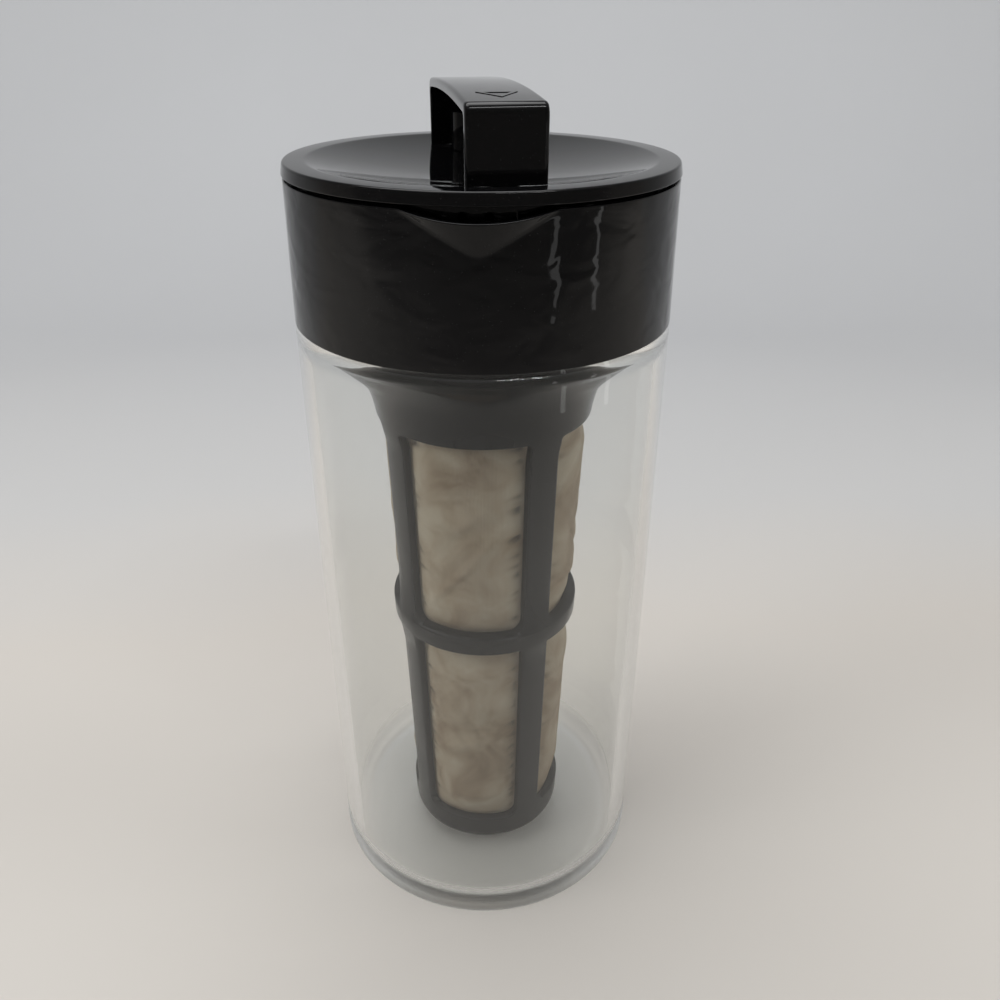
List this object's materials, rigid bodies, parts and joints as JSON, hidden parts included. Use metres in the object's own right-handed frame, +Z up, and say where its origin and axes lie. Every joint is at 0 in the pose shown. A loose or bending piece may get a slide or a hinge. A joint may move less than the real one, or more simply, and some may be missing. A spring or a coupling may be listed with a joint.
{
  "type": "cold brew coffee maker",
  "caption": "Clear cylindrical cold brew carafe with a spouted black collar, a lift-out funnel filter with a fine mesh sleeve, and a turning lid with a bar handle.",
  "frame": {"origin": "the centre of the carafe's flat base, on the surface that it stands on", "axes": "+Z up along the carafe's axis; the spout faces -Y; +X to the right when the spout faces the viewer"},
  "size_m": [0.1118, 0.1145, 0.2679],
  "materials": {
    "clear_glass": "clear and glossy",
    "gloss_black": "high gloss",
    "satin_grey": "satin",
    "mesh_cloth": "fine woven mesh",
    "soft_grey": "matt silicone",
    "steel": "plain"
  },
  "bodies": {
    "carafe": {"carafe_glass": "clear_glass", "rim_gasket": "soft_grey", "collar": "gloss_black"},
    "filter": {"filter_frame": "satin_grey", "filter_mesh": "mesh_cloth"},
    "lid_ring": {"lid_seal": "soft_grey"},
    "lid": {"lid_disc": "gloss_black", "lid_handle": "gloss_black", "handle_screw_front": "steel", "handle_screw_rear": "steel", "lid_cover_plate": "gloss_black", "lid_plug": "gloss_black"}
  },
  "joints": [
    {"name": "filter_lift", "type": "slide", "parent": "carafe", "child": "filter", "axis": [0, 0, 1], "range_m": [0, 0.245]},
    {"name": "lid_lift", "type": "slide", "parent": "filter", "child": "lid_ring", "axis": [0, 0, 1], "range_m": [0, 0.04]},
    {"name": "lid_turn", "type": "hinge", "parent": "lid_ring", "child": "lid", "pos_m": [0, 0, 0], "axis": [0, 0, 1], "continuous": true}
  ]
}
